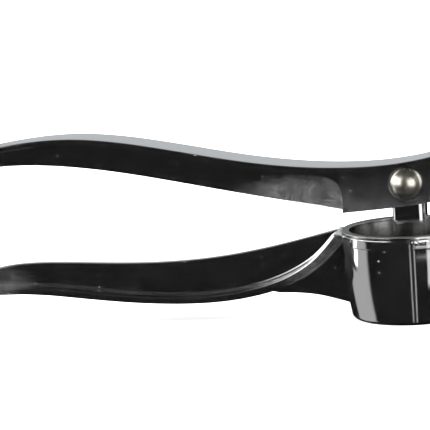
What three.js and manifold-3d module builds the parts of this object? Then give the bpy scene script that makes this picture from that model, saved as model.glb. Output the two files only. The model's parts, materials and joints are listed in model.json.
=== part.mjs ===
// Garlic press, closed, in millimetres, +Z up, standing on the rim under its cup.
// The two handles point to -X, the hinge is at the +X end, and Y runs across the press.
// Every x below is measured from the cup's axis; the whole press is then shifted along X,
// so that the origin is the centre of the bottom of its box.
import * as THREE from 'three';
import { mergeVertices } from 'three/addons/utils/BufferGeometryUtils.js';
import Module from 'manifold-3d';

const wasm = await Module();
wasm.setup();

// ---- Driving dimensions -------------------------------------------------------------
// cup holder, part of the lower casting
const CUP_HEIGHT = 25.8; // top of the basket's rim above the surface it stands on
const CUP_WALL_RADIUS = 19.65; // just under the collar
const CUP_DRAW_IN = 1.9; // how much smaller the wall would be at the very bottom
const CUP_CORNER_RADIUS = 1.4;
const COLLAR_RADIUS = 20.0;
const COLLAR_HEIGHT = 3.7; // basket rim included
const LEDGE_HOLE_RADIUS = 13.2; // garlic leaves through this hole in the holder's floor
const LEDGE_THICKNESS = 1.5;
// perforated basket that lifts out of the holder
const BASKET_TOP_RADIUS = 17.6; // inside
const BASKET_FLOOR_RADIUS = 16.0; // inside
const BASKET_WALL = 0.7;
const BASKET_RIM_THICKNESS = 0.8;
const BASKET_FLOOR_THICKNESS = 1.0;
const HOLE_RADIUS = 0.9;
const HOLE_RINGS = 4;
const HOLE_RING_PITCH = 2.95;
// pivots
const PIVOT_X = 0.4; // plunger pivot
const PIVOT_Z = 39.2;
const HINGE_X = 32;
const HINGE_Z = 48.5;
const PIN_RADIUS = 2.2;
const PIN_CLEARANCE = 0.1;
const HEAD_RADIUS = 4.5;
const HEAD_HEIGHT = 3.9;
const SEAT_RADIUS = 5.8; // spot face that a rivet head sits on
const SEAT_DEPTH = 0.25;
// plunger
const STEM_HALF_WIDTH = 4.8;
const STEM_EDGE_RADIUS = 2.0;
const DISC_RADIUS = 15.2;
const DISC_THICKNESS = 3.0;
const DISC_LIFT = 0.45; // closed: the disc stops this far above the basket's floor
// handles
const HEAD_HALF_WIDTH = 7.2; // lever head, across the cheeks
const GRIP_HALF_WIDTH = 7.6;
const WEB_HALF_THICKNESS = 1.5;
const TIP_X = -136.6;
const LOWER_TIP_X = -134.6;
const SLOT_HALF_WIDTH = 5.1;
const LUG_HALF_WIDTH = 4.8;
const LEVER_EYE_RADIUS = 6.4;
const LUG_EYE_RADIUS = 4.7;
const SLOT_SKIN = 1.6; // left above the slot in the lever's head
const SKIN_END = 40; // degrees above the hinge's level where that skin ends: the lever opens 60
const GAP = 0.15; // left between pieces that touch
const BEYOND = 60; // how far a cut runs on to be sure to leave the solid

const SEGMENTS = 64; // round a lathed body
const PIN_SEGMENTS = 32;
const SEAT_SEGMENTS = 48;
const SHIFT_X = -(TIP_X + HINGE_X + LEVER_EYE_RADIUS) / 2;

// ---- Materials ----------------------------------------------------------------------
const material = (color, roughness, metalness = 1) =>
  new THREE.MeshStandardMaterial({ color, roughness, metalness });
const chrome = () => material(0xc4c7cc, 0.08);
const satinSteel = () => material(0x9b9b9c, 0.38);
const rivetSteel = () => material(0xa09d92, 0.16);

// ---- Solids -------------------------------------------------------------------------
function solid(geometry) {
  const bare = geometry.clone();
  bare.deleteAttribute('normal');
  bare.deleteAttribute('uv');
  const merged = mergeVertices(bare, 1e-4);
  return new wasm.Manifold(new wasm.Mesh({
    numProp: 3,
    vertProperties: new Float32Array(merged.attributes.position.array),
    triVerts: new Uint32Array(merged.index.array),
  }));
}

function geometryOf(manifold) {
  const mesh = manifold.getMesh();
  const geometry = new THREE.BufferGeometry();
  geometry.setAttribute('position', new THREE.BufferAttribute(mesh.vertProperties, 3));
  geometry.setIndex(new THREE.BufferAttribute(mesh.triVerts, 1));
  geometry.computeVertexNormals();
  return geometry;
}

// A side outline in X and Z, given thickness from -Y to +Y.
function slab(outline, yLow, yHigh, curveSegments = 5) {
  const geometry = new THREE.ExtrudeGeometry(outline, {
    depth: yHigh - yLow, bevelEnabled: false, curveSegments,
  });
  geometry.rotateX(Math.PI / 2);
  geometry.translate(0, yHigh, 0);
  return solid(geometry);
}

// A plan outline in X and Y, given height along Z.
function column(outline, zLow, zHigh) {
  const geometry = new THREE.ExtrudeGeometry(outline, {
    depth: zHigh - zLow, bevelEnabled: false, curveSegments: 6,
  });
  geometry.translate(0, 0, zLow);
  return solid(geometry);
}

// A body of revolution about Z from [radius, z] points.
function turned(profile, segments = SEGMENTS) {
  const geometry = new THREE.LatheGeometry(points(profile), segments);
  geometry.rotateX(Math.PI / 2);
  return solid(geometry);
}

// A round bar along Y, centred on x, z.
function crossBar(radius, x, z, yLow, yHigh, segments = PIN_SEGMENTS) {
  const geometry = new THREE.CylinderGeometry(radius, radius, yHigh - yLow, segments);
  geometry.translate(x, (yLow + yHigh) / 2, z);
  return solid(geometry);
}

const points = (list) => list.map(([x, z]) => new THREE.Vector2(x, z));
const degrees = (angle) => angle * Math.PI / 180;
const onCircle = (x, z, radius, angle) => [
  x + radius * Math.cos(degrees(angle)),
  z + radius * Math.sin(degrees(angle)),
];

// The same curve moved sideways by a distance, to the right of its direction of travel.
function offsetCurve(list, distance, divisions = 48) {
  const curve = new THREE.SplineCurve(points(list));
  const moved = [];
  for (let i = 0; i <= divisions; i += 1) {
    const at = curve.getPoint(i / divisions);
    const along = curve.getTangent(i / divisions);
    moved.push([at.x + distance * along.y, at.y - distance * along.x]);
  }
  return moved;
}

// ---- Outlines of the handles, [x, z] ------------------------------------------------
// Top of the upper lever, from its tip to the hinge eye.
const LEVER_TOP = [
  [TIP_X, 50.6], [-131, 52.8], [-122, 54.7], [-101, 56.4], [-77, 53.7], [-47, 47.7], [-18, 44.6],
  [7.4, 46.6], onCircle(HINGE_X, HINGE_Z, LEVER_EYE_RADIUS, 116),
];
// Underside of its head, from the hinge eye to the corner where the web begins.
const HEAD_BOTTOM = [
  onCircle(HINGE_X, HINGE_Z, LEVER_EYE_RADIUS, -58), [20, 36.2], [7, 33.5], [-5, 32.2], [-18.4, 31.3],
];
// Lower edge of its web, on to the tip.
const WEB_BOTTOM = [
  [-55, 38.7], [-91, 46.0], [-108, 48.0], [-122, 48.2], [-131, 48.0], [TIP_X + 0.4, 49.1],
];
// Lip of the recess beside the web: along under the flange, then round and down the head.
const RECESS_LIP = [
  [TIP_X - 7.4, 46.0], [TIP_X, 49.2], [-131, 51.3], [-122, 53.2], [-101, 54.8], [-77, 51.9],
  [-47, 45.6], [-33.9, 43.6], [-26.2, 42.8], [-23, 42.1], [-20.3, 40.9], [-18.9, 38.8],
  [-18.3, 36.2], [-18.3, 33.5],
];

// Top edge of the lower handle's web, from its tip to the cup.
const LOWER_WEB_TOP = [
  [LOWER_TIP_X, 13.6], [-131, 15.6], [-124, 17.7], [-112, 18.6], [-94, 18.0], [-75, 17.6],
  [-57, 18.7], [-39, 21.6], [-20.9, 25.7],
];
// Top and bottom faces of its flange, which sweeps up into the collar.
const LOWER_FLANGE_TOP = [
  [LOWER_TIP_X - 3, 14.8], [LOWER_TIP_X, 13.6], [-127, 12.4], [-112, 12.0], [-88, 9.3], [-70, 8.0],
  [-57, 8.3], [-45, 10.3], [-32.7, 15.0], [-26.4, 19.5], [-21.2, 25.2],
];
const LOWER_FLANGE_BOTTOM = [
  [-18.6, 22.8], [-24, 17.4], [-32, 12.0], [-44, 8.0], [-56, 6.3], [-65, 6.0], [-80, 6.6],
  [-99, 8.6], [-117, 10.2], [-128, 10.6], [LOWER_TIP_X + 0.3, 12.1],
];

// Seen from above: round tips, widest at the grip, a little narrower at the head.
function planOutline(tipX, endX) {
  const outline = new THREE.Shape();
  outline.moveTo(endX, -HEAD_HALF_WIDTH);
  outline.lineTo(-20, -HEAD_HALF_WIDTH);
  outline.splineThru(points([
    [-60, -HEAD_HALF_WIDTH - 0.15], [-100, -GRIP_HALF_WIDTH], [tipX + 9, -GRIP_HALF_WIDTH + 0.3],
  ]));
  outline.splineThru(points([
    [tipX + 2.4, -4.9], [tipX, 0], [tipX + 2.4, 4.9], [tipX + 9, GRIP_HALF_WIDTH - 0.3],
  ]));
  outline.splineThru(points([
    [-100, GRIP_HALF_WIDTH], [-60, HEAD_HALF_WIDTH + 0.15], [-20, HEAD_HALF_WIDTH],
  ]));
  outline.lineTo(endX, HEAD_HALF_WIDTH);
  outline.closePath();
  return outline;
}

// Both sides of a handle are pocketed the same way, which leaves the web in the middle.
function cutPockets(handle, outline) {
  return handle
    .subtract(slab(outline, WEB_HALF_THICKNESS, BEYOND))
    .subtract(slab(outline, -BEYOND, -WEB_HALF_THICKNESS));
}

// ---- Upper lever --------------------------------------------------------------------
function leverOutline() {
  const outline = new THREE.Shape();
  outline.moveTo(...LEVER_TOP[0]);
  outline.splineThru(points(LEVER_TOP.slice(1)));
  outline.absarc(HINGE_X, HINGE_Z, LEVER_EYE_RADIUS, degrees(116), degrees(-58), true);
  outline.splineThru(points(HEAD_BOTTOM.slice(1)));
  outline.splineThru(points(WEB_BOTTOM));
  return outline;
}

// The recess beside the web: under the flange, with a rounded end against the head.
function leverPocket() {
  const outline = new THREE.Shape();
  outline.moveTo(...RECESS_LIP[0]);
  outline.splineThru(points(RECESS_LIP.slice(1)));
  outline.lineTo(RECESS_LIP[RECESS_LIP.length - 1][0], 20);
  outline.lineTo(RECESS_LIP[0][0], 20);
  outline.closePath();
  return outline;
}

// The slot takes the plunger's eye and the hinge lug. The top skin closes it from above.
function leverSlot() {
  const leftX = -6.2;
  const lugRoom = LUG_EYE_RADIUS + 0.3;
  const roof = offsetCurve(LEVER_TOP, SLOT_SKIN).filter(([x]) => x > leftX && x < HINGE_X - lugRoom);
  const outline = new THREE.Shape();
  outline.moveTo(leftX, 20);
  outline.lineTo(leftX, roof[0][1]);
  roof.forEach(([x, z]) => outline.lineTo(x, z));
  outline.absarc(HINGE_X, HINGE_Z, lugRoom, degrees(112), degrees(SKIN_END), true);
  outline.lineTo(...onCircle(HINGE_X, HINGE_Z, 3 * LEVER_EYE_RADIUS, SKIN_END));
  outline.lineTo(HINGE_X + 3 * LEVER_EYE_RADIUS, 20);
  outline.closePath();
  return outline;
}

function upperLever() {
  let lever = slab(leverOutline(), -GRIP_HALF_WIDTH, GRIP_HALF_WIDTH);
  lever = lever.intersect(column(planOutline(TIP_X, BEYOND), 0, 2 * BEYOND));
  lever = cutPockets(lever, leverPocket());
  lever = lever.subtract(slab(leverSlot(), -SLOT_HALF_WIDTH, SLOT_HALF_WIDTH));
  lever = lever.subtract(crossBar(
    STEM_HALF_WIDTH + 0.3, PIVOT_X, PIVOT_Z, -SLOT_HALF_WIDTH, SLOT_HALF_WIDTH, SEAT_SEGMENTS,
  ));
  const seatY = HEAD_HALF_WIDTH - SEAT_DEPTH;
  for (const [x, z] of [[PIVOT_X, PIVOT_Z], [HINGE_X, HINGE_Z]]) {
    lever = lever.subtract(crossBar(PIN_RADIUS + PIN_CLEARANCE, x, z, -BEYOND, BEYOND));
    lever = lever.subtract(crossBar(SEAT_RADIUS, x, z, seatY, BEYOND, SEAT_SEGMENTS));
    lever = lever.subtract(crossBar(SEAT_RADIUS, x, z, -BEYOND, -seatY, SEAT_SEGMENTS));
  }
  return lever;
}

// ---- Lower casting: handle, cup holder, gusset and hinge lug ------------------------
function lowerHandleOutline() {
  const outline = new THREE.Shape();
  outline.moveTo(...LOWER_WEB_TOP[0]);
  outline.splineThru(points(LOWER_WEB_TOP.slice(1)));
  outline.lineTo(-18.6, 25.2);
  outline.lineTo(...LOWER_FLANGE_BOTTOM[0]);
  outline.splineThru(points(LOWER_FLANGE_BOTTOM.slice(1)));
  return outline;
}

function lowerPocket() {
  const outline = new THREE.Shape();
  outline.moveTo(...LOWER_FLANGE_TOP[0]);
  outline.splineThru(points(LOWER_FLANGE_TOP.slice(1)));
  outline.lineTo(-21.2, 40);
  outline.lineTo(LOWER_FLANGE_TOP[0][0], 40);
  outline.closePath();
  return outline;
}

function gussetOutline() {
  const outline = new THREE.Shape();
  outline.moveTo(-43, 8.6);
  outline.splineThru(points([[-39.5, 7.4], [-33.2, 7.1], [-27.3, 6.3], [-22, 4.9], [-17.6, 3.6]]));
  outline.lineTo(-17.6, 23);
  outline.lineTo(-22, 21);
  outline.lineTo(-33, 13);
  outline.closePath();
  return outline;
}

// The lug curves back from the collar, clear of the disc's path, and ends in the hinge eye.
function lugOutline() {
  const outline = new THREE.Shape();
  outline.moveTo(18, 24);
  outline.lineTo(20.9, 24);
  outline.splineThru(points([
    [20.9, 29], [23.9, 34], [26.3, 40], onCircle(HINGE_X, HINGE_Z, LUG_EYE_RADIUS, 192),
  ]));
  outline.absarc(HINGE_X, HINGE_Z, LUG_EYE_RADIUS, degrees(192), degrees(-24), true);
  outline.splineThru(points([[36.2, 41], [33.8, 31], [29, 20], [22.6, 10.5], [17.6, 5.4]]));
  outline.lineTo(16.8, 5.4);
  outline.lineTo(16.8, 20);
  outline.closePath();
  return outline;
}

// The cup's wall draws in slowly at first, then faster towards its base.
function cupHolder() {
  const collarLow = CUP_HEIGHT - COLLAR_HEIGHT;
  const wallRadius = (z) => CUP_WALL_RADIUS - CUP_DRAW_IN * (1 - z / collarLow) ** 2.6;
  const base = CUP_CORNER_RADIUS;
  const corner = [];
  for (let angle = -90; angle < 0; angle += 18) {
    corner.push(onCircle(wallRadius(base) - base, base, base, angle));
  }
  const wall = [];
  for (let i = 0; i <= 5; i += 1) {
    const z = base + (collarLow - 0.4 - base) * i / 5;
    wall.push([wallRadius(z), z]);
  }
  const top = CUP_HEIGHT - BASKET_RIM_THICKNESS - GAP;
  return turned([
    [0, 0], ...corner, ...wall,
    [COLLAR_RADIUS, collarLow],
    [COLLAR_RADIUS, top],
    [0, top],
  ]);
}

function lowerCasting() {
  const top = CUP_HEIGHT - BASKET_RIM_THICKNESS - GAP;
  let handle = slab(lowerHandleOutline(), -GRIP_HALF_WIDTH, GRIP_HALF_WIDTH);
  handle = handle.intersect(column(planOutline(LOWER_TIP_X, BEYOND), 0, BEYOND));
  handle = cutPockets(handle, lowerPocket());
  const lug = slab(lugOutline(), -LUG_HALF_WIDTH, LUG_HALF_WIDTH);
  const gusset = slab(gussetOutline(), -WEB_HALF_THICKNESS, WEB_HALF_THICKNESS);
  let casting = cupHolder().add(handle).add(gusset).add(lug);
  // room for the basket: its rim above the collar, its tapered wall, and the hole in the ledge
  const rimRoom = COLLAR_RADIUS + GAP;
  const floorZ = LEDGE_THICKNESS;
  const wall = BASKET_WALL + GAP;
  casting = casting.subtract(turned([
    [0, -1], [LEDGE_HOLE_RADIUS, -1], [LEDGE_HOLE_RADIUS, floorZ],
    [BASKET_FLOOR_RADIUS + wall, floorZ],
    [BASKET_TOP_RADIUS + wall, top],
    [rimRoom, top], [rimRoom, CUP_HEIGHT + 1], [0, CUP_HEIGHT + 1],
  ]));
  return casting.subtract(crossBar(PIN_RADIUS + PIN_CLEARANCE, HINGE_X, HINGE_Z, -BEYOND, BEYOND));
}

// ---- Sieve basket -------------------------------------------------------------------
function sieveBasket() {
  const floorLow = LEDGE_THICKNESS + GAP;
  const floorHigh = floorLow + BASKET_FLOOR_THICKNESS;
  const rimLow = CUP_HEIGHT - BASKET_RIM_THICKNESS;
  let basket = turned([
    [0, floorLow],
    [BASKET_FLOOR_RADIUS + BASKET_WALL, floorLow],
    [BASKET_TOP_RADIUS + BASKET_WALL, rimLow],
    [COLLAR_RADIUS, rimLow],
    [COLLAR_RADIUS, CUP_HEIGHT],
    [BASKET_TOP_RADIUS, CUP_HEIGHT],
    [BASKET_FLOOR_RADIUS, floorHigh],
    [0, floorHigh],
  ]);
  for (let ring = 1; ring <= HOLE_RINGS; ring += 1) {
    const count = 6 * ring;
    for (let i = 0; i < count; i += 1) {
      const angle = 2 * Math.PI * (i + 0.5 * (ring % 2)) / count;
      const hole = new THREE.CylinderGeometry(HOLE_RADIUS, HOLE_RADIUS, 2 * BASKET_FLOOR_THICKNESS, 8);
      hole.rotateX(Math.PI / 2);
      const radius = ring * HOLE_RING_PITCH;
      const middle = floorLow + BASKET_FLOOR_THICKNESS / 2;
      hole.translate(radius * Math.cos(angle), radius * Math.sin(angle), middle);
      basket = basket.subtract(solid(hole));
    }
  }
  return basket;
}

// ---- Plunger ------------------------------------------------------------------------
// The stem is square with rounded edges, so that it stays straight in the lever's slot.
function stemOutline() {
  const middle = STEM_HALF_WIDTH - STEM_EDGE_RADIUS;
  const outline = new THREE.Shape();
  outline.absarc(middle, middle, STEM_EDGE_RADIUS, 0, 0.5 * Math.PI);
  outline.absarc(-middle, middle, STEM_EDGE_RADIUS, 0.5 * Math.PI, Math.PI);
  outline.absarc(-middle, -middle, STEM_EDGE_RADIUS, Math.PI, 1.5 * Math.PI);
  outline.absarc(middle, -middle, STEM_EDGE_RADIUS, 1.5 * Math.PI, 2 * Math.PI);
  outline.closePath();
  return outline;
}

function plunger() {
  const low = LEDGE_THICKNESS + GAP + BASKET_FLOOR_THICKNESS + DISC_LIFT;
  const high = low + DISC_THICKNESS;
  const fillet = 2.5;
  const root = [];
  for (let i = 0; i <= 4; i += 1) {
    root.push(onCircle(STEM_HALF_WIDTH + fillet, high + fillet, fillet, -90 - 22.5 * i));
  }
  const disc = turned([
    [0, low], [DISC_RADIUS - 0.4, low], [DISC_RADIUS, low + 0.4], [DISC_RADIUS, high - 0.4],
    [DISC_RADIUS - 0.4, high], ...root, [0, high + fillet],
  ], 48);
  const stem = column(stemOutline(), high - 1, PIVOT_Z + 8);
  // the top of the stem is rounded about the pivot
  const eye = new THREE.Shape();
  eye.moveTo(-20, 0);
  eye.lineTo(20, 0);
  eye.lineTo(20, PIVOT_Z);
  eye.lineTo(STEM_HALF_WIDTH, PIVOT_Z);
  eye.absarc(0, PIVOT_Z, STEM_HALF_WIDTH, 0, Math.PI, false);
  eye.lineTo(-20, PIVOT_Z);
  eye.closePath();
  return disc
    .add(stem)
    .intersect(slab(eye, -20, 20, 12))
    .subtract(crossBar(PIN_RADIUS + PIN_CLEARANCE, 0, PIVOT_Z, -20, 20));
}

// ---- Rivets -------------------------------------------------------------------------
// Half of a domed head's outline, as [radius, height above its seat].
function dome() {
  const outline = [[HEAD_RADIUS - 0.2, 0], [HEAD_RADIUS, 0.25]];
  for (let i = 1; i <= 8; i += 1) {
    const angle = degrees(90 * i / 8);
    outline.push([HEAD_RADIUS * Math.cos(angle), 0.25 + (HEAD_HEIGHT - 0.25) * Math.sin(angle)]);
  }
  outline[outline.length - 1][0] = 0;
  return outline;
}

const SEAT_Y = HEAD_HALF_WIDTH - SEAT_DEPTH + 0.05;
const SHANK_END_Y = SEAT_Y + 1.6; // the shank ends inside the cap

// The shank runs along Z here, with its head at the top; rivet() turns the head to -Y.
function rivetPin() {
  return turned([
    [0, -SHANK_END_Y], [PIN_RADIUS - 0.2, -SHANK_END_Y], [PIN_RADIUS, -SHANK_END_Y + 0.2],
    [PIN_RADIUS, SEAT_Y],
    ...dome().map(([r, h]) => [r, SEAT_Y + h]),
  ], PIN_SEGMENTS);
}

function rivetCap() {
  const socket = PIN_RADIUS + PIN_CLEARANCE;
  const depth = SHANK_END_Y + 0.2 - SEAT_Y;
  return turned([
    [0, SEAT_Y + depth], [socket, SEAT_Y + depth], [socket, SEAT_Y],
    ...dome().map(([r, h]) => [r, SEAT_Y + h]),
  ], PIN_SEGMENTS);
}

// ---- Assembly -----------------------------------------------------------------------
function piece(name, manifold, finish) {
  const mesh = new THREE.Mesh(geometryOf(manifold), finish);
  mesh.name = name;
  return mesh;
}

function rivet(name, x, z) {
  const group = new THREE.Group();
  const pin = piece(`${name}_pin`, rivetPin(), rivetSteel());
  pin.rotation.x = Math.PI / 2;
  const cap = piece(`${name}_pin_cap`, rivetCap(), rivetSteel());
  cap.rotation.x = -Math.PI / 2;
  group.add(pin, cap);
  group.position.set(x, 0, z);
  return group;
}

const press = new THREE.Group();
press.add(piece('lower_casting', lowerCasting(), chrome()));
press.add(piece('sieve_basket', sieveBasket(), satinSteel()));
press.add(piece('upper_lever', upperLever(), chrome()));
const plungerMesh = piece('plunger', plunger(), chrome());
plungerMesh.position.x = PIVOT_X;
press.add(plungerMesh);
press.add(rivet('plunger', PIVOT_X, PIVOT_Z));
press.add(rivet('hinge', HINGE_X, HINGE_Z));
press.position.x = SHIFT_X;

export default press;
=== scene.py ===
"""The looks of a chromed die-cast garlic press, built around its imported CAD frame.

Outlines are in millimetres from the cup's axis, as the castings are drawn; place() shifts them to
the frame's origin and turns them into metres.
"""
import json
import math

import bmesh
import bpy
import numpy as np
from mathutils import Matrix, Vector


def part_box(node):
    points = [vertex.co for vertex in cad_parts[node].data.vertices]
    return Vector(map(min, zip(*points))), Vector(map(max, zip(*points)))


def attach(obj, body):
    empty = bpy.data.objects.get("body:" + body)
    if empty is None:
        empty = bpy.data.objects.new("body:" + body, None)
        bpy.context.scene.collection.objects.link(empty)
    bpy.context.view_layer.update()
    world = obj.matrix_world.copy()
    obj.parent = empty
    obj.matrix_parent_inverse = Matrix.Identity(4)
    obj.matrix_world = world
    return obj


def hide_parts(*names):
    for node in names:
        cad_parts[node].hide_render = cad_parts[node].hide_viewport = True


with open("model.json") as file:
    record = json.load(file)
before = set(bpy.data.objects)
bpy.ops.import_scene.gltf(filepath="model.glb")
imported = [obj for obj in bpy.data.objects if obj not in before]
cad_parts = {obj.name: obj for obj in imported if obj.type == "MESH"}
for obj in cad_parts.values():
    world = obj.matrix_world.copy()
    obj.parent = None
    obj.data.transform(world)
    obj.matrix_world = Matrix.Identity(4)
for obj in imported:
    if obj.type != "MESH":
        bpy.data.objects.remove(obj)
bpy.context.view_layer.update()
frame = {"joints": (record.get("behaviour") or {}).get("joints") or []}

MM = 0.001
CREASE = 32

# ---- Places taken from the frame ----------------------------------------------------
JOINTS = {joint["name"]: joint for joint in frame["joints"]}
BASKET_LOW, BASKET_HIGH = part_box("sieve_basket")
HOLDER_LOW, HOLDER_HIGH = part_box("lower_casting")
LEVER_LOW, LEVER_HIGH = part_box("upper_lever")
PLUNGER_LOW, PLUNGER_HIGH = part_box("plunger")
AXIS_X = (BASKET_LOW.x + BASKET_HIGH.x) / 2


def from_axis(point_m):
    """A frame point, in metres, as [x, z] in millimetres from the cup's axis."""
    return (point_m[0] - AXIS_X) / MM, point_m[2] / MM


HINGE = from_axis(JOINTS["lever_hinge"]["pos_m"])
PIVOT = from_axis(JOINTS["plunger_swing"]["pos_m"])
TIP_X = from_axis(LEVER_LOW)[0]
LOWER_TIP_X = from_axis(HOLDER_LOW)[0]
COLLAR_RADIUS = HOLDER_HIGH.y / MM
RIM_Z = BASKET_HIGH.z / MM
BASKET_FLOOR_Z = BASKET_LOW.z / MM
DISC_RADIUS = (PLUNGER_HIGH.x - PLUNGER_LOW.x) / 2 / MM
DISC_Z = PLUNGER_LOW.z / MM
LEVER_EYE_RADIUS = (LEVER_HIGH.x - AXIS_X) / MM - HINGE[0]

# ---- Other sizes, mm ----------------------------------------------------------------
HEAD_HALF_WIDTH = 7.2
GRIP_HALF_WIDTH = 7.6
WEB_HALF = 1.5
SLOT_HALF = 5.1
LUG_HALF = 4.8
LUG_EYE_RADIUS = 4.7
PIN_RADIUS = 2.2
PIN_CLEARANCE = 0.1
SHANK_END_Y = 8.4
SOCKET_END_Y = 8.8
# the spot faces under the rivet heads, and where the heads start, just clear of them
SEAT_RADIUS = 4.9
SEAT_DEPTH = 0.25
SEAT_Y = HEAD_HALF_WIDTH - SEAT_DEPTH + 0.05
NOSE_LENGTH = 8.0
STEM_HALF = 4.8
STEM_EDGE = 2.0
RIM_THICKNESS = 0.8
COLLAR_HEIGHT = 3.7
GAP = 0.15
HOLDER_TOP_Z = RIM_Z - RIM_THICKNESS - GAP
WALL_RADIUS = 19.65
WALL_DRAW_IN = 1.9
BASKET_TOP_RADIUS = 17.6
BASKET_FLOOR_RADIUS = 16.0
BASKET_WALL = 0.7
LEDGE_HOLE_RADIUS = 13.2
LEDGE_THICKNESS = 1.5
HOLE_RADIUS = 0.9
HOLE_RINGS = 4
HOLE_RING_PITCH = 2.95


# ---- Curves -------------------------------------------------------------------------
def spline(points, end_slope=None):
    """A cubic through [x, z] points in order of x, smooth to its second derivative.

    It has no bend at its ends, unless a slope is given for the last one.
    """
    pts = sorted(points)
    x = np.array([p[0] for p in pts], float)
    z = np.array([p[1] for p in pts], float)
    n = len(x)
    h = np.diff(x)
    a = np.zeros((n, n))
    b = np.zeros(n)
    for i in range(1, n - 1):
        a[i, i - 1:i + 2] = h[i - 1], 2 * (h[i - 1] + h[i]), h[i]
        b[i] = 6 * ((z[i + 1] - z[i]) / h[i] - (z[i] - z[i - 1]) / h[i - 1])
    a[0, 0] = 1
    if end_slope is None:
        a[-1, -1] = 1
    else:
        a[-1, -2], a[-1, -1] = h[-1], 2 * h[-1]
        b[-1] = 6 * (end_slope - (z[-1] - z[-2]) / h[-1])
    m = np.linalg.solve(a, b)

    def at(value):
        i = int(np.clip(np.searchsorted(x, value) - 1, 0, n - 2))
        s, t = x[i + 1] - value, value - x[i]
        return float(
            (m[i] * s ** 3 + m[i + 1] * t ** 3) / (6 * h[i])
            + (z[i] / h[i] - m[i] * h[i] / 6) * s
            + (z[i + 1] / h[i] - m[i + 1] * h[i] / 6) * t)
    return at


def on_circle(centre, radius, angle):
    return (centre[0] + radius * math.cos(math.radians(angle)),
            centre[1] + radius * math.sin(math.radians(angle)))


def arc(centre, radius, start, end, steps=4):
    """Points round a circle from start to end, in degrees, both included."""
    return [on_circle(centre, radius, start + (end - start) * i / steps) for i in range(steps + 1)]


def through(points, steps=8):
    """A smooth line through points that may turn any way, as a list of points (Catmull-Rom)."""
    out = []
    pts = [Vector(p) for p in points]
    for i in range(len(pts) - 1):
        p0, p1, p2, p3 = pts[max(i - 1, 0)], pts[i], pts[i + 1], pts[min(i + 2, len(pts) - 1)]
        for k in range(steps):
            t = k / steps
            out.append(tuple(0.5 * (
                2 * p1 + (p2 - p0) * t + (2 * p0 - 5 * p1 + 4 * p2 - p3) * t * t
                + (3 * p1 - p0 - 3 * p2 + p3) * t * t * t)))
    out.append(tuple(pts[-1]))
    return out


# ---- Meshes -------------------------------------------------------------------------
def place(x, y, z):
    """Millimetres from the cup's axis to metres in the frame."""
    return Vector((AXIS_X + x * MM, y * MM, z * MM))


def smooth(mesh):
    """Smooth faces, with creases where they meet at more than CREASE degrees."""
    mesh.polygons.foreach_set("use_smooth", [True] * len(mesh.polygons))
    mesh.set_sharp_from_angle(angle=math.radians(CREASE))


def finish_mesh(name, bm):
    """Turns a bmesh into an object in the scene, with its faces outwards."""
    bmesh.ops.remove_doubles(bm, verts=bm.verts, dist=1e-7)
    bmesh.ops.recalc_face_normals(bm, faces=bm.faces)
    mesh = bpy.data.meshes.new(name)
    bm.to_mesh(mesh)
    bm.free()
    obj = bpy.data.objects.new(name, mesh)
    bpy.context.scene.collection.objects.link(obj)
    smooth(mesh)
    return obj


def loft(name, rings):
    """A closed skin over rings of the same number of points, capped at both ends."""
    bm = bmesh.new()
    rows = [[bm.verts.new(place(*p)) for p in ring] for ring in rings]
    for low, high in zip(rows, rows[1:]):
        for i in range(len(low)):
            j = (i + 1) % len(low)
            bm.faces.new((low[i], low[j], high[j], high[i]))
    bm.faces.new(list(reversed(rows[0])))
    bm.faces.new(rows[-1])
    return finish_mesh(name, bm)


def turned(name, profile, centre=(0.0, 0.0), segments=96, axis="z"):
    """A body of revolution from [radius, height] points, about Z, or about Y as seen from the front."""
    bm = bmesh.new()
    rows = []
    for radius, height in profile:
        row = []
        count = 1 if radius < 1e-6 else segments
        for k in range(count):
            angle = 2 * math.pi * k / segments
            c, s = radius * math.cos(angle), radius * math.sin(angle)
            if axis == "z":
                row.append(bm.verts.new(place(centre[0] + c, s, height)))
            else:
                row.append(bm.verts.new(place(centre[0] + c, height, centre[1] + s)))
        rows.append(row)
    pairs = list(zip(rows, rows[1:]))
    if len(rows[0]) > 1:
        pairs.append((rows[-1], rows[0]))
    for low, high in pairs:
        if len(low) == 1 and len(high) == 1:
            continue
        for k in range(segments):
            corners = [low[k % len(low)], low[(k + 1) % len(low)],
                       high[(k + 1) % len(high)], high[k % len(high)]]
            bm.faces.new(list(dict.fromkeys(corners)))
    return finish_mesh(name, bm)


def inset(outline, distance):
    """A closed outline moved inwards; its points run anticlockwise."""
    out = []
    n = len(outline)
    for i in range(n):
        before, here, after = (Vector(outline[k % n]) for k in (i - 1, i, i + 1))
        one, two = (here - before).normalized(), (after - here).normalized()
        normal = Vector((-one.y - two.y, one.x + two.x))
        normal.normalize()
        stretch = max(normal.dot(Vector((-one.y, one.x))), 0.5)
        out.append(tuple(here + normal * (distance / stretch)))
    return out


def plate(name, outline, half, radius, steps=5):
    """A flat plate across Y with this side outline and a rounded edge all round it."""
    if sum(a[0] * b[1] - b[0] * a[1] for a, b in zip(outline, outline[1:] + outline[:1])) < 0:
        outline = outline[::-1]
    bm = bmesh.new()
    rows = []
    levels = [(radius * (1 - math.sin(a)), half - radius + radius * math.cos(a))
              for a in (math.pi / 2 * k / steps for k in range(steps + 1))]
    for depth, y in levels:
        ring = inset(outline, depth) if depth > 0 else outline
        rows.append([bm.verts.new(place(x, -y, z)) for x, z in ring])
    for depth, y in reversed(levels):
        ring = inset(outline, depth) if depth > 0 else outline
        rows.append([bm.verts.new(place(x, y, z)) for x, z in ring])
    for low, high in zip(rows, rows[1:]):
        for i in range(len(low)):
            j = (i + 1) % len(low)
            bm.faces.new((low[i], low[j], high[j], high[i]))
    bm.faces.new(list(reversed(rows[0])))
    bm.faces.new(rows[-1])
    return finish_mesh(name, bm)


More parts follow.
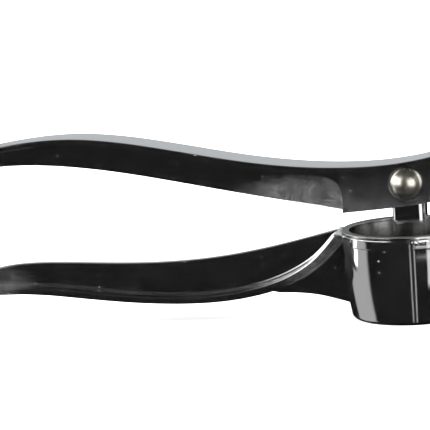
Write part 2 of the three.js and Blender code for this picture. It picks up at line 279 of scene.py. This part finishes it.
def apply_modifiers(obj):
    bpy.context.view_layer.update()
    graph = bpy.context.evaluated_depsgraph_get()
    mesh = bpy.data.meshes.new_from_object(
        obj.evaluated_get(graph), preserve_all_data_layers=True, depsgraph=graph)
    obj.modifiers.clear()
    old, obj.data = obj.data, mesh
    bpy.data.meshes.remove(old)


def combine(target, tool, operation):
    """Joins, cuts or intersects target with tool, and removes the tool."""
    modifier = target.modifiers.new(operation.lower(), "BOOLEAN")
    modifier.operation = operation
    modifier.solver = "MANIFOLD"
    modifier.object = tool
    apply_modifiers(target)
    bpy.data.objects.remove(tool)


def crisp(obj):
    """Smooth faces with sharp creases, and flat faces that stay flat up to their edges."""
    smooth(obj.data)
    modifier = obj.modifiers.new("weights", "WEIGHTED_NORMAL")
    modifier.keep_sharp = True
    modifier.weight = 80
    apply_modifiers(obj)


# ---- Upper lever --------------------------------------------------------------------
LEVER_TOP = spline([
    (TIP_X, 50.6), (-131, 52.8), (-122, 54.7), (-101, 56.4), (-77, 53.7), (-47, 47.7), (-18, 44.6),
    (7.4, 46.6), on_circle(HINGE, LEVER_EYE_RADIUS, 116)], end_slope=0.49)
HEAD_BOTTOM = spline([
    on_circle(HINGE, LEVER_EYE_RADIUS, -58), (20, 36.2), (7, 33.5), (-5, 32.2), (-18.4, 31.3)],
    end_slope=0.62)
WEB_BOTTOM = spline([
    (-18.4, 31.3), (-55, 38.7), (-91, 46.0), (-108, 48.0), (-122, 48.2), (-131, 48.0), (TIP_X, 49.1)])
# the recess beside the web ends here, against the head
POCKET_END = -18.3
# its lip, under the flange and down the side of the head
RECESS_LIP = [
    (-144, 46.0), (-136.6, 49.2), (-131, 51.3), (-122, 53.2), (-101, 54.8), (-77, 51.9), (-47, 45.6),
    (-33.9, 43.6), (-26.2, 42.8), (-23, 42.1), (-20.3, 40.9), (-18.9, 38.8), (POCKET_END, 36.2),
    (POCKET_END, 33.5)]
RECESS_FILLET = 1.8


def half_width(x, tip_x):
    """Plan half width: a round tip, widest at the grip, a little narrower at the head."""
    t = np.clip((x - tip_x) / (-20 - tip_x), 0, 1)
    wide = HEAD_HALF_WIDTH + (GRIP_HALF_WIDTH - HEAD_HALF_WIDTH) * math.sin(math.pi * (1 - t) ** 0.7)
    if x < tip_x + NOSE_LENGTH:
        s = (tip_x + NOSE_LENGTH - x) / NOSE_LENGTH
        wide *= max(1 - s ** 2.3, 0) ** (1 / 2.3)
    return wide


def tee_half(width, top, under, web, foot, edge=0.3, fillet=0.7):
    """Half of a T section, from its top centre to its foot's centre, as [y, z] points."""
    edge = min(edge, 0.45 * (top - under), 0.8 * width)
    web = min(web, 0.6 * width)
    fillet = min(fillet, 0.5 * max(under - foot, 0), max(width - web - edge - 0.05, 0) * 0.9)
    round_foot = min(0.4, 0.9 * web, 0.4 * max(under - foot, 0))
    points = [(width * k / 5 * 0.9, top) for k in range(5)]
    points += arc((width - edge, top - edge), edge, 90, 0)
    points += arc((width - edge, under + edge), edge, 0, -90)
    points += [(web + fillet + (width - edge - web - fillet) * k / 4, under) for k in (3, 2, 1)]
    points += arc((web + fillet, under - fillet), fillet, 90, 180)
    points += [(web, foot + round_foot + (under - fillet - foot - round_foot) * k / 5)
               for k in (4, 3, 2, 1)]
    points += arc((web - round_foot, foot + round_foot), round_foot, 0, -90)
    points.append((0, foot))
    return points


def ring(x, half):
    """A whole section at x from its half."""
    left = [(-y, z) for y, z in half[1:-1]]
    return [(x, y, z) for y, z in half + left[::-1]]


def stations(tip_x, end_x):
    """Places along a handle for its sections, closer together round its tip."""
    nose = [tip_x + NOSE_LENGTH * (1 - math.cos(math.radians(a))) for a in range(9, 90, 9)]
    return nose + list(np.linspace(tip_x + NOSE_LENGTH, end_x, 84))


def block_half(width, top, foot, edge=0.4):
    """Half of a solid section with rounded edges, from its top centre to its foot's centre."""
    edge = min(edge, 0.45 * (top - foot), 0.8 * width)
    points = [(width * k / 4 * 0.9, top) for k in range(4)]
    points += arc((width - edge, top - edge), edge, 90, 0)
    points += [(width, top - edge - (top - foot - 2 * edge) * k / 4) for k in (1, 2, 3)]
    points += arc((width - edge, foot + edge), edge, 0, -90)
    points.append((0, foot))
    return points


def upper_handle():
    """The handle as a solid bar, up to where it has become the head."""
    rings = []
    for x in stations(TIP_X, POCKET_END):
        rings.append(ring(x, block_half(half_width(x, TIP_X), LEVER_TOP(x), WEB_BOTTOM(x))))
    for x in (-15.0, -12.0):
        rings.append(ring(x, block_half(HEAD_HALF_WIDTH, LEVER_TOP(x), HEAD_BOTTOM(x))))
    return loft("upper_handle", rings)


def recess(side):
    """What is cut from one side of the handle to leave its web, with a wide fillet to the web."""
    reach = 12
    lip = through(RECESS_LIP, 6)
    tool = plate("recess", lip + [(POCKET_END, 20), (RECESS_LIP[0][0], 20)], reach, RECESS_FILLET, 6)
    for vertex in tool.data.vertices:
        vertex.co.y += side * (reach + WEB_HALF) * MM
    return tool


def web_edge(side, radius=0.7):
    """What is cut along the lower edge of the web to round it."""
    rings = []
    for x in np.linspace(TIP_X - 1, POCKET_END + 0.1, 70):
        foot = WEB_BOTTOM(x) - 0.02
        section = [(3.5, foot + radius), (3.5, foot - 2), (WEB_HALF - radius, foot - 2)]
        section += arc((WEB_HALF - radius, foot + radius), radius, -90, 0, 5)
        rings.append([(x, side * y, z) for y, z in section])
    return loft("web_edge", rings)


def lever_head():
    """The block that holds both pivots, round at its hinge end."""
    start = POCKET_END + 0.4
    top_end = on_circle(HINGE, LEVER_EYE_RADIUS, 116)[0]
    foot_end = on_circle(HINGE, LEVER_EYE_RADIUS, -58)[0]
    foot = [(x, HEAD_BOTTOM(x)) for x in np.linspace(start, foot_end, 40)]
    eye = arc(HINGE, LEVER_EYE_RADIUS, -58, 116, 40)[1:-1]
    top = [(x, LEVER_TOP(x)) for x in np.linspace(top_end, start, 40)]
    return plate("lever_head", foot + eye + top, HEAD_HALF_WIDTH, 0.4, 4)


def lever_slot():
    """Room for the stem and the lug, under a skin that follows the lever's top."""
    skin, left, end_angle = 1.6, -6.2, 40
    roof = []
    for x in np.linspace(left, HINGE[0] - 5, 30):
        slope = (LEVER_TOP(x + 0.1) - LEVER_TOP(x - 0.1)) / 0.2
        run = math.hypot(1, slope)
        roof.append((x + skin * slope / run, LEVER_TOP(x) - skin / run))
    roof = [p for p in roof if p[0] < HINGE[0] - 3.0]
    lug_room = arc(HINGE, LUG_EYE_RADIUS + 0.3, 112, end_angle, 16)
    out = [on_circle(HINGE, 20, end_angle), (HINGE[0] + 20, 20), (roof[0][0], 20)]
    return plate("slot", roof + lug_room + out, SLOT_HALF, 0.3, 2)


def bar(centre, radius, half, segments=64):
    return turned("bar", [(0, -half), (radius, -half), (radius, half), (0, half)], centre, segments, "y")


def upper_lever():
    lever = upper_handle()
    combine(lever, lever_head(), "UNION")
    for side in (-1, 1):
        combine(lever, recess(side), "DIFFERENCE")
        combine(lever, web_edge(side), "DIFFERENCE")
    combine(lever, lever_slot(), "DIFFERENCE")
    combine(lever, bar(PIVOT, STEM_HALF + 0.3, SLOT_HALF), "DIFFERENCE")
    for centre in (PIVOT, HINGE):
        combine(lever, bar(centre, PIN_RADIUS + PIN_CLEARANCE, 12), "DIFFERENCE")
        for side in (-1, 1):
            face, out = side * (HEAD_HALF_WIDTH - SEAT_DEPTH), side * 12
            seat = turned("seat", [(0, face), (SEAT_RADIUS, face), (SEAT_RADIUS, out), (0, out)],
                          centre, 64, "y")
            combine(lever, seat, "DIFFERENCE")
    lever.name = "upper_lever_chrome"
    crisp(lever)
    return lever


# ---- Lower casting ------------------------------------------------------------------
LOWER_WEB_TOP = spline([
    (LOWER_TIP_X, 13.6), (-131, 15.6), (-124, 17.7), (-112, 18.6), (-94, 18.0), (-75, 17.6),
    (-57, 18.7), (-39, 21.6), (-20.9, 25.7)])
LOWER_FLANGE_TOP = spline([
    (LOWER_TIP_X, 13.6), (-127, 12.4), (-112, 12.0), (-88, 9.3), (-70, 8.0), (-57, 8.3),
    (-45, 10.3), (-32.7, 15.0), (-26.4, 19.5), (-21.2, 25.2)])
LOWER_FLANGE_BOTTOM = spline([
    (-18.6, 22.8), (-24, 17.4), (-32, 12.0), (-44, 8.0), (-56, 6.3), (-65, 6.0), (-80, 6.6),
    (-99, 8.6), (-117, 10.2), (-128, 10.6), (LOWER_TIP_X, 12.1)])


def lower_handle():
    """An upside-down T section whose flange sweeps up into the collar."""
    rings = []
    end = -21.3
    for x in stations(LOWER_TIP_X, end):
        foot, under = LOWER_FLANGE_BOTTOM(x), LOWER_FLANGE_TOP(x)
        top = max(LOWER_WEB_TOP(x), under)
        under = min(under, top)
        edge = 0.3 + 0.35 * float(np.clip((x + 62) / 28, 0, 1))
        half = tee_half(half_width(x, LOWER_TIP_X), -foot, -under, WEB_HALF, -top, edge)
        rings.append(ring(x, [(y, -z) for y, z in half]))
    for x in (-21.0, -18.7):
        foot = LOWER_FLANGE_BOTTOM(x)
        top = HOLDER_TOP_Z if x > -20 else 25.3
        half = tee_half(HEAD_HALF_WIDTH, -foot, -top, WEB_HALF, -top, 0.65)
        rings.append(ring(x, [(y, -z) for y, z in half]))
    return loft("lower_handle", rings)


def wall_radius(z):
    """The cup wall draws in faster towards its base."""
    return WALL_RADIUS - WALL_DRAW_IN * (1 - z / (RIM_Z - COLLAR_HEIGHT)) ** 2.6


def cup_holder():
    top = HOLDER_TOP_Z
    collar_low = RIM_Z - COLLAR_HEIGHT
    base = 1.4
    outer = [(0, 0)] + arc((wall_radius(base) - base, base), base, -90, 0, 8)
    outer += [(wall_radius(z), z) for z in np.linspace(base, collar_low - 0.5, 14)[1:]]
    outer += arc((WALL_RADIUS + 0.25, collar_low - 0.25), 0.25, 180, 90, 3)[1:]
    outer += arc((COLLAR_RADIUS - 0.3, collar_low + 0.3), 0.3, -60, 0, 4)
    outer += arc((COLLAR_RADIUS - 0.12, top - 0.12), 0.12, 0, 90, 3) + [(0, top)]
    return turned("holder", outer, segments=160)


def basket_room():
    """What is cut from the holder for the basket, with a ledge under it and the hole in the ledge."""
    top = HOLDER_TOP_Z
    ledge, wall = LEDGE_THICKNESS, BASKET_WALL + GAP
    return turned("room", [
        (0, -1), (LEDGE_HOLE_RADIUS, -1), (LEDGE_HOLE_RADIUS, ledge),
        (BASKET_FLOOR_RADIUS + wall, ledge), (BASKET_TOP_RADIUS + wall, top),
        (COLLAR_RADIUS + GAP, top), (COLLAR_RADIUS + GAP, RIM_Z + 1), (0, RIM_Z + 1)],
        segments=160)


def gusset():
    lower = through([(-43, 8.6), (-39.5, 7.4), (-33.2, 7.1), (-27.3, 6.3), (-22, 4.9), (-17.6, 3.6)])
    return plate("gusset", lower + [(-17.6, 23), (-22, 21), (-33, 13)], WEB_HALF, 0.5, 4)


def hinge_lug():
    front = through([(20.9, 24), (20.9, 29), (23.9, 34), (26.3, 40),
                     on_circle(HINGE, LUG_EYE_RADIUS, 192)])
    eye = arc(HINGE, LUG_EYE_RADIUS, 192, -24, 36)
    back = through([eye[-1], (36.2, 41), (33.8, 31), (29, 20), (22.6, 10.5), (17.6, 5.4)])
    outline = front[:-1] + eye[:-1] + back + [(16.8, 5.4), (16.8, 20), (18, 24)]
    return plate("lug", outline, LUG_HALF, 0.8, 4)


def lower_casting():
    casting = cup_holder()
    for part in (lower_handle(), gusset(), hinge_lug()):
        combine(casting, part, "UNION")
    combine(casting, basket_room(), "DIFFERENCE")
    combine(casting, bar(HINGE, PIN_RADIUS + PIN_CLEARANCE, 12), "DIFFERENCE")
    casting.name = "lower_casting_chrome"
    crisp(casting)
    return casting


# ---- Basket, plunger and rivets -----------------------------------------------------
def sieve_basket():
    wall = BASKET_WALL
    low = BASKET_FLOOR_Z
    rim_low = RIM_Z - RIM_THICKNESS
    profile = [(0, low)]
    profile += arc((BASKET_FLOOR_RADIUS + wall - 0.7, low + 0.7), 0.7, -90, 0, 4)
    profile += [(BASKET_TOP_RADIUS + wall, rim_low), (COLLAR_RADIUS - 0.2, rim_low)]
    profile += arc((COLLAR_RADIUS - 0.35, RIM_Z - 0.15), 0.15, 0, 90, 3)
    profile += arc((BASKET_TOP_RADIUS + 0.4, RIM_Z - 0.4), 0.4, 90, 180, 4)
    profile += [(BASKET_FLOOR_RADIUS, low + 1.4)]
    profile += arc((BASKET_FLOOR_RADIUS - 0.4, low + 1.4), 0.4, 0, -90, 3) + [(0, low + 1.0)]
    basket = turned("sieve_basket_steel", profile, segments=128)
    bm = bmesh.new()
    for row in range(1, HOLE_RINGS + 1):
        for k in range(6 * row):
            angle = 2 * math.pi * (k + 0.5 * (row % 2)) / (6 * row)
            reach = HOLE_RING_PITCH * row
            at = place(reach * math.cos(angle), reach * math.sin(angle), low + 0.5)
            bmesh.ops.create_cone(bm, cap_ends=True, segments=20, radius1=HOLE_RADIUS * MM,
                                  radius2=HOLE_RADIUS * MM, depth=3 * MM,
                                  matrix=Matrix.Translation(at))
    combine(basket, finish_mesh("holes", bm), "DIFFERENCE")
    crisp(basket)
    return basket


def plunger():
    high = DISC_Z + 3.0
    profile = [(0, DISC_Z)] + arc((DISC_RADIUS - 0.5, DISC_Z + 0.5), 0.5, -90, 0, 4)
    profile += arc((DISC_RADIUS - 0.5, high - 0.5), 0.5, 0, 90, 4)
    profile += arc((STEM_HALF + 2.5, high + 2.5), 2.5, -90, -180, 8) + [(0, high + 2.5)]
    body = turned("plunger_chrome", profile, (PIVOT[0], 0), 96)
    inner = STEM_HALF - STEM_EDGE
    square = []
    for start, x, y in ((0, 1, 1), (90, -1, 1), (180, -1, -1), (270, 1, -1)):
        square += arc((PIVOT[0] + x * inner, y * inner), STEM_EDGE, start, start + 90, 9)
    stem = loft("stem", [[(x, y, z) for x, y in square] for z in np.linspace(high - 1, 50, 12)])
    combine(body, stem, "UNION")
    eye = [(-20, 0), (20, 0), (20, PIVOT[1])] + arc((0, PIVOT[1]), STEM_HALF, 0, 180, 32)
    eye += [(-20, PIVOT[1])]
    eye = [(x + PIVOT[0], z) for x, z in eye]
    combine(body, plate("eye", eye, 20, 0.2, 1), "INTERSECT")
    combine(body, bar(PIVOT, PIN_RADIUS + PIN_CLEARANCE, 20), "DIFFERENCE")
    crisp(body)
    return body


def rivet(name, node, centre, side):
    """One half of a rivet: a domed head on one cheek, with its shank or its socket."""
    low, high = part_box(node)
    radius = (high.x - low.x) / 2 / MM
    crown = (high.y if side > 0 else -low.y) / MM
    seat = side * SEAT_Y
    rise = crown - SEAT_Y - 0.25
    profile = [(0, seat), (radius - 0.25, seat), (radius - 0.07, seat + side * 0.07)]
    for k in range(17):
        a = math.radians(90 * k / 16)
        profile.append((radius * math.cos(a) if k < 16 else 0, seat + side * (0.25 + rise * math.sin(a))))
    head = turned(name, profile, centre, 64, "y")
    if side < 0:
        start = seat - 0.5
        shank = turned("shank", [(0, SHANK_END_Y), (PIN_RADIUS, SHANK_END_Y), (PIN_RADIUS, start),
                                 (0, start)], centre, 48, "y")
        combine(head, shank, "UNION")
    else:
        combine(head, bar(centre, PIN_RADIUS + PIN_CLEARANCE, SOCKET_END_Y), "DIFFERENCE")
    crisp(head)
    return head


# ---- Materials ----------------------------------------------------------------------
class Tree:
    """Short ways to add nodes to a material's tree."""

    def __init__(self, name):
        self.material = bpy.data.materials.new(name)
        self.material.use_nodes = True
        self.tree = self.material.node_tree
        self.shader = self.tree.nodes["Principled BSDF"]
        self.place = self.add("ShaderNodeTexCoord").outputs["Object"]

    def add(self, kind, **values):
        made = self.tree.nodes.new(kind)
        for key, value in values.items():
            self.set(made.inputs[key.replace("_", " ")], value)
        return made

    def set(self, socket, value):
        if isinstance(value, bpy.types.NodeSocket):
            self.tree.links.new(value, socket)
        else:
            socket.default_value = value

    def noise(self, scale, detail):
        return self.add("ShaderNodeTexNoise", Vector=self.place, Scale=scale, Detail=detail).outputs["Fac"]

    def math(self, operation, one, two):
        made = self.tree.nodes.new("ShaderNodeMath")
        made.operation = operation
        self.set(made.inputs[0], one)
        self.set(made.inputs[1], two)
        return made.outputs[0]

    def ramp(self, value, low, high, start=0.0, end=1.0):
        made = self.add("ShaderNodeMapRange", Value=value, From_Min=low, From_Max=high, To_Min=start,
                        To_Max=end)
        made.interpolation_type = "SMOOTHSTEP"
        return made.outputs["Result"]

    def axis(self, name):
        return self.add("ShaderNodeSeparateXYZ", Vector=self.place).outputs[name]

    def near(self, centre, radii):
        """1 at a point, falling to 0 at these distances from it along X, Y and Z."""
        away = self.tree.nodes.new("ShaderNodeVectorMath")
        away.operation = "SUBTRACT"
        self.set(away.inputs[0], self.place)
        self.set(away.inputs[1], centre)
        scaled = self.tree.nodes.new("ShaderNodeVectorMath")
        scaled.operation = "DIVIDE"
        self.set(scaled.inputs[0], away.outputs[0])
        self.set(scaled.inputs[1], [r * MM for r in radii])
        length = self.tree.nodes.new("ShaderNodeVectorMath")
        length.operation = "LENGTH"
        self.set(length.inputs[0], scaled.outputs[0])
        return self.ramp(length.outputs["Value"], 0.3, 1.0, 1.0, 0.0)

    def relief(self, heights, normal=None):
        """Adds bumps from (height, depth in mm) pairs to the normal."""
        for height, depth in heights:
            bump = self.add("ShaderNodeBump", Strength=1.0, Distance=depth * MM, Height=height)
            if normal is not None:
                self.set(bump.inputs["Normal"], normal)
            normal = bump.outputs["Normal"]
        self.set(self.shader.inputs["Normal"], normal)

    def pits(self, scale, share, radius):
        """Small round pits, one in each of a share of the cells of this scale."""
        cells = self.add("ShaderNodeTexVoronoi", Vector=self.place, Scale=scale)
        dots = self.ramp(cells.outputs["Distance"], 0.0, radius)
        pick = self.tree.nodes.new("ShaderNodeSeparateColor")
        self.set(pick.inputs[0], cells.outputs["Color"])
        skipped = self.ramp(pick.outputs[0], share, share + 0.01)
        return self.math("MAXIMUM", dots, skipped)

    def metal(self, color, tint=1.0):
        self.set(self.shader.inputs["Metallic"], 1.0)
        self.set(self.shader.inputs["Base Color"], (*color, 1))
        self.set(self.shader.inputs["Specular Tint"], (tint, tint, tint, 1))


def chrome(name, haze_and_painted_light=(), rough=None, film=0.0022):
    """Plated casting: waves, grain, pits, coarse where it is rough, and a film, milky where hazy; some
    patches of thicker film are painted light, lighter places that stand in for reflections.
    """
    made = Tree(name)
    made.metal((0.74, 0.74, 0.745))
    made.set(made.shader.inputs["Roughness"], made.ramp(made.noise(160, 3), 0.35, 0.75, 0.045, 0.10))
    # the film thickens in the listed patches; those that stand in for lighter reflections are painted
    # light
    milky_and_painted_light = film
    for build, amount in haze_and_painted_light:
        milky_and_painted_light = made.math("ADD", milky_and_painted_light, made.math("MULTIPLY", build(made), amount))
    cloudy = made.math("MULTIPLY", made.ramp(made.noise(260, 5), 0.3, 0.7, 0.6, 1.35),
                       made.ramp(made.noise(2200, 2), 0.3, 0.7, 0.3, 1.75))
    made.set(made.shader.inputs["Metallic"],
             made.math("SUBTRACT", 1.0, made.math("MULTIPLY", milky_and_painted_light, cloudy)))
    edge = made.add("ShaderNodeBevel", Radius=0.22 * MM)
    edge.samples = 4
    heights = [(made.noise(70, 1), 0.02), (made.noise(420, 2), 0.003), (made.noise(2600, 3), 0.0018),
               (made.pits(600, 0.2, 0.17), 0.05)]
    if rough:
        heights.append((made.math("MULTIPLY", rough(made), made.noise(1300, 1)), 0.05))
    made.relief(heights, edge.outputs["Normal"])
    return made.material


def on_side(made, width):
    """1 on faces at least this far from the middle plane, 0 on the web."""
    away = made.math("ABSOLUTE", made.axis("Y"), 0.0)
    return made.ramp(away, (width - 0.6) * MM, (width - 0.3) * MM)


def lever_chrome():
    # painted reflection: a lighter, milky patch in the recess beside the web, near the head, standing in
    # for a lighter reflection there
    def painted_recess_reflection(made):
        away = made.math("ABSOLUTE", made.axis("Y"), 0.0)
        web = made.ramp(away, (WEB_HALF + 0.1) * MM, (WEB_HALF + 1.2) * MM, 1.0, 0.0)
        return made.math("MULTIPLY", web, made.near(place(-26, 0, 35.5), (32, 30, 9)))

    # painted light: the head's cheeks made milky and lighter, most toward their bottom edge
    def cheek_painted_light(made):
        head = made.ramp(made.axis("X"), place(-19, 0, 0).x, place(-18, 0, 0).x)
        low = made.ramp(made.axis("Z"), 0.031, 0.043, 1.2, 0.05)
        return made.math("MULTIPLY", made.math("MULTIPLY", on_side(made, HEAD_HALF_WIDTH), head), low)

    return chrome("lever_chrome", [(painted_recess_reflection, 0.054), (cheek_painted_light, 0.02)])


def holder_chrome():
    # painted highlight: a lighter, milky patch near the lower handle's tip, standing in for a bright
    # reflection there
    def painted_tip_highlight(made):
        return made.near(place(-128, 0, 13), (16, 30, 6))

    def sweep_haze(made):
        sweep = made.near(place(-27, 0, 18), (16, 30, 14))
        return made.math("MULTIPLY", on_side(made, HEAD_HALF_WIDTH), sweep)

    def unpolished(made):
        collar = made.ramp(made.axis("Z"), (RIM_Z - 2.6) * MM, (RIM_Z - 1.4) * MM)
        side = made.math("MULTIPLY", sweep_haze(made), 0.8)
        return made.math("MAXIMUM", collar, side)

    return chrome("holder_chrome", [(painted_tip_highlight, 0.03), (sweep_haze, 0.03)], unpolished)


def steel():
    """The basket: matt on its rim, smoother inside."""
    made = Tree("satin_steel")
    made.metal((0.42, 0.42, 0.41), 0.7)
    rim = made.ramp(made.axis("Z"), BASKET_HIGH.z - 1.0 * MM, BASKET_HIGH.z - 0.7 * MM)
    patchy = made.ramp(made.noise(500, 4), 0.3, 0.7, 0.85, 1.15)
    top = made.ramp(made.axis("Z"), BASKET_HIGH.z - 0.3 * MM, BASKET_HIGH.z - 0.1 * MM)
    rough = made.math("ADD", 0.15, made.math("MULTIPLY", top, 0.36))
    made.set(made.shader.inputs["Roughness"], made.math("MULTIPLY", rough, patchy))
    coarse = made.math("MULTIPLY", rim, made.noise(1300, 1))
    made.relief([(made.noise(300, 2), 0.01), (made.noise(3000, 3), 0.006), (coarse, 0.04)])
    return made.material


def rivet_steel():
    made = Tree("rivet_steel")
    made.metal((0.50, 0.485, 0.42))
    made.set(made.shader.inputs["Metallic"], made.ramp(made.noise(600, 3), 0.3, 0.7, 0.984, 0.994))
    made.set(made.shader.inputs["Roughness"], made.ramp(made.noise(300, 3), 0.3, 0.7, 0.26, 0.34))
    made.relief([(made.noise(900, 2), 0.004), (made.noise(4000, 2), 0.001)])
    return made.material


def dress(piece, material, body, slot, *nodes):
    """Gives a piece its material and the body it moves with, and hides the CAD nodes it stands for; its
    slot is not used.
    """
    piece.data.materials.clear()
    piece.data.materials.append(material)
    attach(piece, body)
    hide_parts(*nodes)


RIVET = rivet_steel()

dress(lower_casting(), holder_chrome(), "base", "chrome_casting", "lower_casting")
dress(sieve_basket(), steel(), "base", "satin_steel", "sieve_basket")
dress(upper_lever(), lever_chrome(), "lever", "chrome_casting", "upper_lever")
dress(plunger(), chrome("plunger_chrome"), "plunger", "chrome_plunger", "plunger")
for kind, centre in (("plunger", PIVOT), ("hinge", HINGE)):
    dress(rivet(f"{kind}_rivet_pin", f"{kind}_pin", centre, -1), RIVET, "lever", "rivet_steel",
          f"{kind}_pin")
    dress(rivet(f"{kind}_rivet_cap", f"{kind}_pin_cap", centre, 1), RIVET, "lever", "rivet_steel",
          f"{kind}_pin_cap")


# ---- Floor, light and camera --------------------------------------------------------
def floor():
    bm = bmesh.new()
    bmesh.ops.create_grid(bm, x_segments=4, y_segments=4, size=3.0)
    mesh = bpy.data.meshes.new("floor")
    bm.to_mesh(mesh)
    bm.free()
    obj = bpy.data.objects.new("floor", mesh)
    bpy.context.scene.collection.objects.link(obj)
    material = bpy.data.materials.new("pale_floor")
    material.use_nodes = True
    shader = material.node_tree.nodes["Principled BSDF"]
    shader.inputs["Base Color"].default_value = (0.93, 0.93, 0.93, 1)
    shader.inputs["Roughness"].default_value = 0.8
    mesh.materials.append(material)
    obj.visible_glossy = False


# Parts of the studio seen in the metal: azimuth from the front towards the hinge and half width,
# lowest and highest elevation (all in degrees), strength, softness and whether it is bluish.
STUDIO = [
    (-67, 38, -3, 38, 3.0, 3, False),
    (38, 24, -9, 28, 3.0, 3, False),
    (48, 15, -19, -10, 0.8, 1.5, False),
    (175, 96, 0, 36, 0.58, 3, True),
    (-98, 24, -40, 2, 0.46, 4, False),
    (126, 16, -40, 2, 0.50, 4, False),
    (4.4, 0.8, -45, -10, 0.60, 0.6, False),
    (11.4, 0.9, -45, -10, 0.55, 0.6, False),
    (0, 180, -60, 8, 0.006, 12, False),
    (0, 180, 30, 90, 0.05, 12, False),
]


def studio():
    """The metal mirrors STUDIO in a dark room; everything else is lit by an even white sky."""
    world = bpy.data.worlds.new("studio")
    bpy.context.scene.world = world
    world.use_nodes = True
    world.cycles.sampling_method = "NONE"
    tree = world.node_tree
    tree.nodes.clear()
    direction = tree.nodes.new("ShaderNodeTexCoord").outputs["Generated"]
    split = tree.nodes.new("ShaderNodeSeparateXYZ")
    tree.links.new(direction, split.inputs[0])

    def math_node(operation, one, two):
        made = tree.nodes.new("ShaderNodeMath")
        made.operation = operation
        for socket, value in zip(made.inputs, (one, two)):
            if isinstance(value, bpy.types.NodeSocket):
                tree.links.new(value, socket)
            else:
                socket.default_value = value
        return made.outputs[0]

    def step(value, low, high, end=1.0):
        made = tree.nodes.new("ShaderNodeMapRange")
        made.interpolation_type = "SMOOTHSTEP"
        tree.links.new(value, made.inputs["Value"])
        made.inputs["From Min"].default_value = low
        made.inputs["From Max"].default_value = high
        made.inputs["To Max"].default_value = end
        return made.outputs["Result"]

    azimuth = math_node("ARCTAN2", split.outputs["X"], math_node("MULTIPLY", split.outputs["Y"], -1.0))
    elevation = math_node("ARCSINE", split.outputs["Z"], 0.0)

    def patch(centre, half, low, high, strength, soft):
        centre, half, low, high, soft = (math.radians(v) for v in (centre, half, low, high, soft))
        turned_to = math_node("SUBTRACT", azimuth, centre)
        wrapped = math_node("ABSOLUTE", math_node("ARCTAN2", math_node("SINE", turned_to, 0.0),
                                                  math_node("COSINE", turned_to, 0.0)), 0.0)
        across = step(math_node("MULTIPLY", wrapped, -1.0), -half - soft, -half + soft, strength)
        up = step(elevation, low - soft, low + soft)
        down = step(math_node("MULTIPLY", elevation, -1.0), -high - soft, -high + soft)
        return math_node("MULTIPLY", math_node("MULTIPLY", across, up), down)

    def background(color, strength):
        made = tree.nodes.new("ShaderNodeBackground")
        made.inputs["Color"].default_value = (*color, 1)
        if isinstance(strength, bpy.types.NodeSocket):
            tree.links.new(strength, made.inputs["Strength"])
        else:
            made.inputs["Strength"].default_value = strength
        return made.outputs[0]

    totals = {False: 0.004, True: 0.0}
    for *shape, bluish in STUDIO:
        totals[bluish] = math_node("ADD", totals[bluish], patch(*shape))
    both = tree.nodes.new("ShaderNodeAddShader")
    tree.links.new(background((1, 1, 1), totals[False]), both.inputs[0])
    tree.links.new(background((0.93, 0.97, 1.0), totals[True]), both.inputs[1])
    choice = tree.nodes.new("ShaderNodeMixShader")
    tree.links.new(tree.nodes.new("ShaderNodeLightPath").outputs["Is Glossy Ray"], choice.inputs[0])
    tree.links.new(background((1, 1, 1), 4.0), choice.inputs[1])
    tree.links.new(both.outputs[0], choice.inputs[2])
    tree.links.new(choice.outputs[0], tree.nodes.new("ShaderNodeOutputWorld").inputs[0])


def softbox(name, azimuth, elevation, distance, size, power):
    """A rectangular light that faces the cup, placed by its direction from it."""
    a, e = math.radians(azimuth), math.radians(elevation)
    aim = place(0, 0, 35)
    away = Vector((math.sin(a) * math.cos(e), -math.cos(a) * math.cos(e), math.sin(e)))
    data = bpy.data.lights.new(name, "AREA")
    data.shape = "RECTANGLE"
    data.size, data.size_y = size
    data.energy = power
    obj = bpy.data.objects.new(name, data)
    obj.location = aim + away * distance
    obj.rotation_euler = away.to_track_quat("Z", "Y").to_euler()
    obj.visible_glossy = False
    bpy.context.scene.collection.objects.link(obj)


def camera():
    """At the photograph's angle: 12 degrees towards the hinge, 9 above, rolled 4 degrees."""
    azimuth, elevation, roll = (math.radians(v) for v in (12.0, 8.98, -4.03))
    back = Vector((math.sin(azimuth) * math.cos(elevation), -math.cos(azimuth) * math.cos(elevation),
                   math.sin(elevation)))
    right = Vector((0, 0, 1)).cross(back).normalized()
    up = back.cross(right)
    right, up = (right * math.cos(roll) + up * math.sin(roll),
                 up * math.cos(roll) - right * math.sin(roll))
    data = bpy.data.cameras.new("camera")
    data.sensor_width = 36
    data.lens = 167.4
    data.clip_end = 20
    obj = bpy.data.objects.new("camera", data)
    obj.matrix_world = Matrix((
        (right.x, up.x, back.x, 0), (right.y, up.y, back.y, 0), (right.z, up.z, back.z, 0),
        (0, 0, 0, 1)))
    obj.location = place(64.03, -570.95, 123.31)
    bpy.context.scene.collection.objects.link(obj)
    bpy.context.scene.camera = obj


floor()
studio()
softbox("left_box", -67, 40, 1.2, (1.2, 0.9), 2)
softbox("right_box", 38, 40, 1.2, (1.2, 0.9), 2)
camera()
bpy.context.scene.view_settings.view_transform = "Standard"
